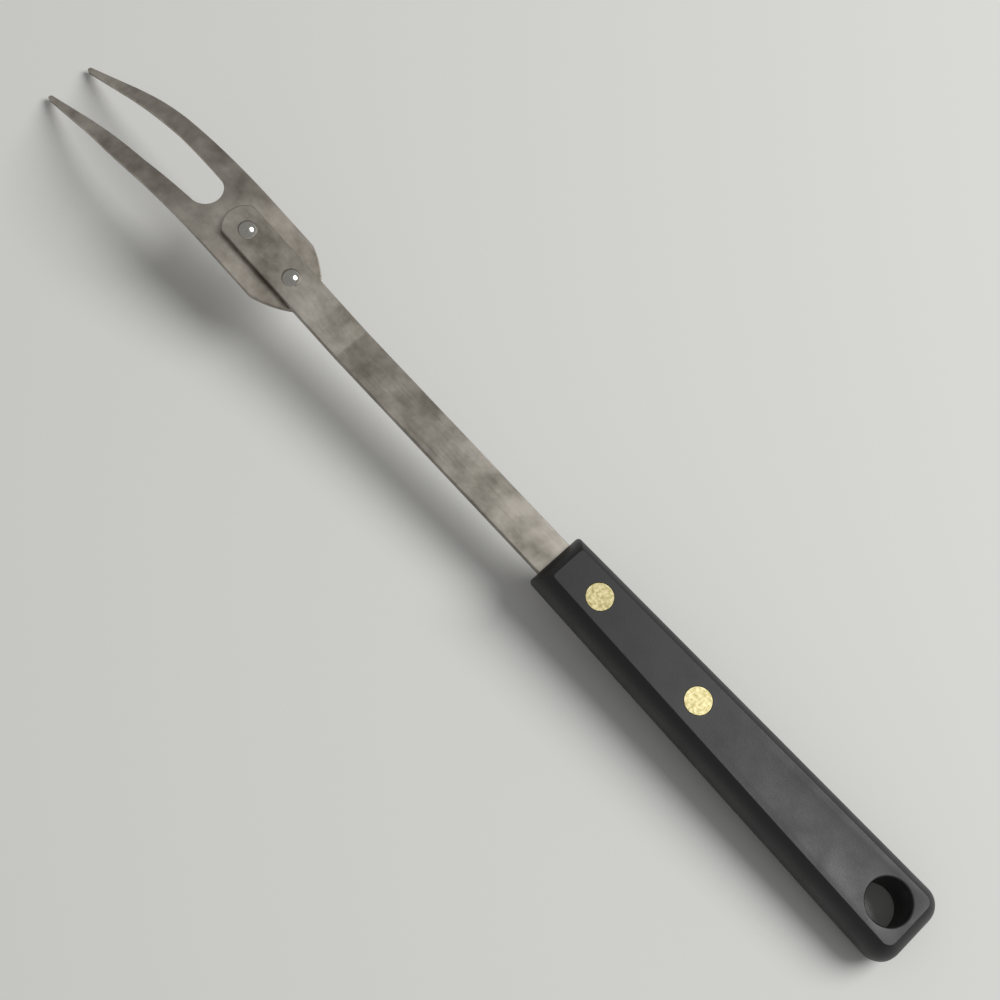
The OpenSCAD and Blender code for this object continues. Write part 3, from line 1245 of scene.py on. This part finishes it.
@dataclass(frozen=True)
class HeadRivet:
    """A rivet with a polished dome on the strip and a formed tail under the plate."""

    place: HeadRivetPlace
    head: ForkHead
    steps_around: int = 64

    def profile(self) -> Outline:
        """Radius and height of the profile's points, from the tail to the dome.

        Returns:
            The points.
        """
        sizes = self.head.shank.rivets
        top = self.head.shank.thickness / 2
        bottom = -top - self.head.thickness
        dome_half, tail_half, shank_half = sizes.dome_d / 2, sizes.tail_d / 2, sizes.shank_d / 2
        dome_r = (dome_half**2 + sizes.dome_h**2) / 2 / sizes.dome_h
        tail_r = (tail_half**2 + sizes.tail_h**2) / 2 / sizes.tail_h
        dome_turn = math.degrees(math.asin(dome_half / dome_r))
        tail_turn = math.degrees(math.asin(tail_half / tail_r))
        tail = arc((0, bottom - sizes.tail_h + tail_r), tail_r, -90, -90 + tail_turn, 10)
        dome = arc((0, top + sizes.dome_h - dome_r), dome_r, 90 - dome_turn, 90, 20)
        return tail + [(shank_half, bottom), (shank_half, top)] + dome

    def build(self, lathe: bpy.types.NodeTree, metal: bpy.types.Material) -> bpy.types.Object:
        """Turns the rivet on the lathe tree and stands it on the strip.

        Args:
            lathe: The tree that turns it.
            metal: Its material.

        Returns:
            The rivet.
        """
        name = f"head_rivet_{self.place.name.lower()}_dome"
        piece = turned(name, self.profile(), lathe, metal, self.steps_around)
        piece.data.transform(self.head.shank.riser(self.head.shank.rivets.along_strip(self.place)))
        return piece


def turned(
    name: str, profile: Outline, lathe: bpy.types.NodeTree, metal: bpy.types.Material, steps: int
) -> bpy.types.Object:
    """Turns a profile into a round piece.

    Args:
        name: The object's name.
        profile: Radius and height of its points, from the bottom to the top.
        lathe: The tree that turns it.
        metal: The material that the tree sets.
        steps: How many faces it has all round.

    Returns:
        The piece, standing on its own axis.
    """
    draft = Draft()
    draft.points = [(max(radius, 0.0), 0.0, height) for radius, height in profile]
    piece = draft.object(name)
    made_by(lathe, piece, {"Steps Around": steps, "Material": metal})
    finished(piece)
    return piece


@dataclass(frozen=True)
class HandleRivet:
    """One half of a cutler's rivet, its head ground flush with the handle."""

    place: HandleRivetPlace
    half: Half
    handle: Handle
    chamfer: float = 0.07
    steps_around: int = 72

    def profile(self) -> Outline:
        """Radius and height of the profile's points, from the bottom to the top.

        Returns:
            The points.
        """
        sizes = self.handle.rivets
        face = self.handle.thickness / 2
        seat = face - sizes.flush_h
        rim = sizes.flush_d / 2
        crown = [(rim, face - self.chamfer), (rim - self.chamfer, face), (0.0, face)]
        if self.half is Half.TUBE:
            bore, tube, end = sizes.pin_d / 2, sizes.tube_d / 2, -sizes.tube_below
            hollow = [(0.0, seat), (bore, seat), (bore, end), (tube, end), (tube, seat)]
            return [*hollow, (rim, seat), *crown]
        pin = sizes.pin_d / 2
        lower = [(r, -z) for r, z in reversed(crown)]
        return [*lower, (rim, -seat), (pin, -seat), (pin, seat), (0.0, seat)]

    def build(self, lathe: bpy.types.NodeTree, metal: bpy.types.Material) -> bpy.types.Object:
        """Turns the half on the lathe tree and puts it in the handle.

        Args:
            lathe: The tree that turns it.
            metal: Its material.

        Returns:
            The half.
        """
        name = f"handle_rivet_{self.place.name.lower()}_{self.half.value}"
        piece = turned(name, self.profile(), lathe, metal, self.steps_around)
        x = self.handle.rivets.along_handle(self.place)
        piece.data.transform(Matrix.Translation((x * MM, 0, 0)))
        return piece


# Studio


@dataclass(frozen=True)
class Studio:
    """A plain pale floor, one broad soft lamp and the photograph's view."""

    camera_at: tuple[float, float, float] = (-0.1011, 0.1435, 0.4628)
    camera_right: tuple[float, float, float] = (-0.6871, -0.7200, 0.0966)
    camera_up: tuple[float, float, float] = (0.7027, -0.6250, 0.3395)
    lens: float = 64.8
    floor_colour: str = "#cfcfcc"
    lamp_towards: tuple[float, float, float] = (-0.50, -0.70, 0.95)
    lamp_distance: float = 1.7
    lamp_size: float = 1.1
    lamp_watts: float = 27.5
    sky: str = "#ffffff"
    sky_strength: float = 0.34

    def camera(self) -> None:
        """Puts the camera where the photograph was taken from."""
        data = bpy.data.cameras.new("photograph_view")
        data.lens = self.lens
        data.clip_start = 0.01
        right, up = Vector(self.camera_right).normalized(), Vector(self.camera_up)
        back = right.cross(up).normalized()
        up = back.cross(right)
        turn = Matrix((right, up, back)).transposed().to_4x4()
        view = bpy.data.objects.new("photograph_view", data)
        view.matrix_world = Matrix.Translation(self.camera_at) @ turn
        bpy.context.scene.collection.objects.link(view)
        bpy.context.scene.camera = view

    def lamp(self) -> None:
        """Hangs the soft lamp on the side that the photograph is lit from."""
        data = bpy.data.lights.new("soft_lamp", "AREA")
        data.shape = "DISK"
        data.size = self.lamp_size
        data.energy = self.lamp_watts
        lamp = bpy.data.objects.new("soft_lamp", data)
        towards = Vector(self.lamp_towards).normalized()
        turn = towards.to_track_quat("Z", "Y").to_matrix().to_4x4()
        lamp.matrix_world = Matrix.Translation(towards * self.lamp_distance) @ turn
        bpy.context.scene.collection.objects.link(lamp)

    def world(self) -> None:
        """Fills the room with a plain dim light."""
        world = bpy.data.worlds.new("room")
        world.use_nodes = True
        bpy.context.scene.world = world
        sky = world.node_tree.nodes["Background"]
        sky.inputs["Color"].default_value = linear(self.sky)
        sky.inputs["Strength"].default_value = self.sky_strength

    def floor(self) -> None:
        """Lays the floor at the height that the fork rests on."""
        half = 1.5
        mesh = bpy.data.meshes.new("floor")
        corners = [(-half, -half, 0), (half, -half, 0), (half, half, 0), (-half, half, 0)]
        mesh.from_pydata(corners, [], [(0, 1, 2, 3)])
        material = bpy.data.materials.new("pale_floor")
        material.use_nodes = True
        colour = linear(self.floor_colour)
        matt = {"Base Color": colour, "Roughness": 0.9, "Specular IOR Level": 0.1}
        finish(material.node_tree, matt)
        mesh.materials.append(material)
        floor = bpy.data.objects.new("floor", mesh)
        bpy.context.scene.collection.objects.link(floor)

    def build(self) -> None:
        """Makes the whole studio."""
        self.camera()
        self.lamp()
        self.world()
        self.floor()
        bpy.context.scene.view_settings.view_transform = "Standard"


def laid_down(handle: Handle, head: ForkHead) -> Lie:
    """Works out how the fork lies on its tips and on the handle's lower rear edge.

    Args:
        handle: The handle.
        head: The plate with the tines.

    Returns:
        The tilt and the moves.
    """
    heel = (handle.flank_width - handle.length, -handle.thickness / 2)
    tip = (head.reach, head.tip_low)
    angle = math.atan((heel[1] - tip[1]) / (tip[0] - heel[0]))
    front = tip[0] * math.cos(angle) - tip[1] * math.sin(angle)
    rear = -handle.length * math.cos(angle)
    floor = tip[0] * math.sin(angle) + tip[1] * math.cos(angle)
    return Lie(angle, (front + rear) / 2, floor)


def main() -> None:
    """Builds the fork, piece by piece, and the studio round it."""
    logging.basicConfig(level=logging.INFO, format="%(name)s: %(message)s")
    rivets = Rivets()
    handle = Handle(rivets)
    shank = Shank(rivets)
    head = ForkHead(shank)
    lie = laid_down(handle, head)
    press, lathe = press_tree(), lathe_tree()
    Studio().build()
    handle.dress(handle.build(), lie)
    shank.dress(shank.build(press), lie)
    head.dress(head.build(press), lie)
    steel, brass = PolishedSteel(lie).material(), TarnishedBrass(lie).material()
    for place in HeadRivetPlace:
        piece = HeadRivet(place, head).build(lathe, steel)
        placed(piece, f"head_rivet_{place.name.lower()}", lie.matrix, steel)
    for spot in HandleRivetPlace:
        for half in Half:
            piece = HandleRivet(spot, half, handle).build(lathe, brass)
            node = f"rivet_{half.value}_{spot.name.lower()}"
            placed(piece, node, lie.matrix, brass)


if __name__ == "__main__":
    main()
